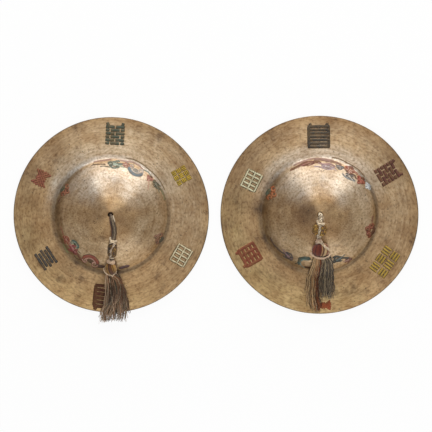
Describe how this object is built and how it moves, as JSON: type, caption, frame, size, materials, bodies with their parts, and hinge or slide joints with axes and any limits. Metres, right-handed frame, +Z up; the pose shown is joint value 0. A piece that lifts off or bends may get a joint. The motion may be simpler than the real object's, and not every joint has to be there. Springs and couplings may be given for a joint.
{
  "type": "pair of cymbals",
  "caption": "Pair of hand cymbals with wide domed bosses and shallow rims, lying dome up, each with a knotted cord through the hole and a wrapped, tasselled handle laid over the dome.",
  "frame": {"origin": "midway between the outer edges of the two cymbals, on the surface that they lie on", "axes": "+X from the left cymbal to the right one, +Y away from the tassels, +Z up through the domes"},
  "size_m": [0.6174, 0.3152, 0.062],
  "materials": {
    "bell_bronze": "hammered and lathe-turned bell bronze with an aged brown patina, faint turning rings and small dark pits",
    "hide": "vegetable-tanned cowhide, dark and dry",
    "cord_hide": "soft hide thong, grey-brown and worn",
    "cotton": "twisted undyed cotton cord, slightly soiled",
    "brocade": "gathered silk brocade with dull gold threads",
    "knotwork": "wound and netted silk twine in olive gold, brown and dark red",
    "yarn": "loose wool and silk yarn, grey-brown, beige and dark red",
    "enamel": "thin hand-painted enamel ornament, worn at its edges"
  },
  "bodies": {
    "left_cymbal": {"left_plate": "bell_bronze"},
    "left_stop": {"left_washer": "hide", "left_stop_knot": "cord_hide", "left_neck": "cord_hide"},
    "left_handle": {"left_cord": "cord_hide", "left_hitch": "cotton", "left_sleeve": "brocade"},
    "left_tassel": {"left_collar": "cotton", "left_tassel_head": "knotwork", "left_head_ring": "cotton", "left_tassel_skirt": "yarn"},
    "right_cymbal": {"right_plate": "bell_bronze"},
    "right_stop": {"right_washer": "hide", "right_stop_knot": "cotton", "right_neck": "cotton"},
    "right_handle": {"right_cord": "cotton", "right_hitch": "cotton", "right_sleeve": "brocade"},
    "right_tassel": {"right_collar": "cotton", "right_tassel_head": "knotwork", "right_head_ring": "cotton", "right_tassel_skirt": "yarn"}
  },
  "joints": [
    {"name": "left_swivel", "type": "hinge", "parent": "left_cymbal", "child": "left_stop", "pos_m": [-0.15975, 0, 0.052], "axis": [0, 0, 1], "continuous": true},
    {"name": "left_swing", "type": "hinge", "parent": "left_stop", "child": "left_handle", "pos_m": [-0.15975, 0, 0.0553], "axis": [-1, 0, 0], "range_deg": [0, 90]},
    {"name": "left_fold", "type": "hinge", "parent": "left_handle", "child": "left_tassel", "pos_m": [-0.15851, -0.06684, 0.03355], "axis": [-1, 0, 0], "range_deg": [0, 75]},
    {"name": "right_lift", "type": "slide", "parent": "left_cymbal", "child": "right_cymbal", "axis": [0, 0, 1], "range_m": [0, 0.2]},
    {"name": "right_swivel", "type": "hinge", "parent": "right_cymbal", "child": "right_stop", "pos_m": [0.15775, 0, 0.052], "axis": [0, 0, 1], "continuous": true},
    {"name": "right_swing", "type": "hinge", "parent": "right_stop", "child": "right_handle", "pos_m": [0.15775, 0, 0.0553], "axis": [-1, 0, 0], "range_deg": [0, 90]},
    {"name": "right_fold", "type": "hinge", "parent": "right_handle", "child": "right_tassel", "pos_m": [0.15571, -0.03481, 0.05116], "axis": [-1, 0, 0], "range_deg": [0, 75]}
  ]
}
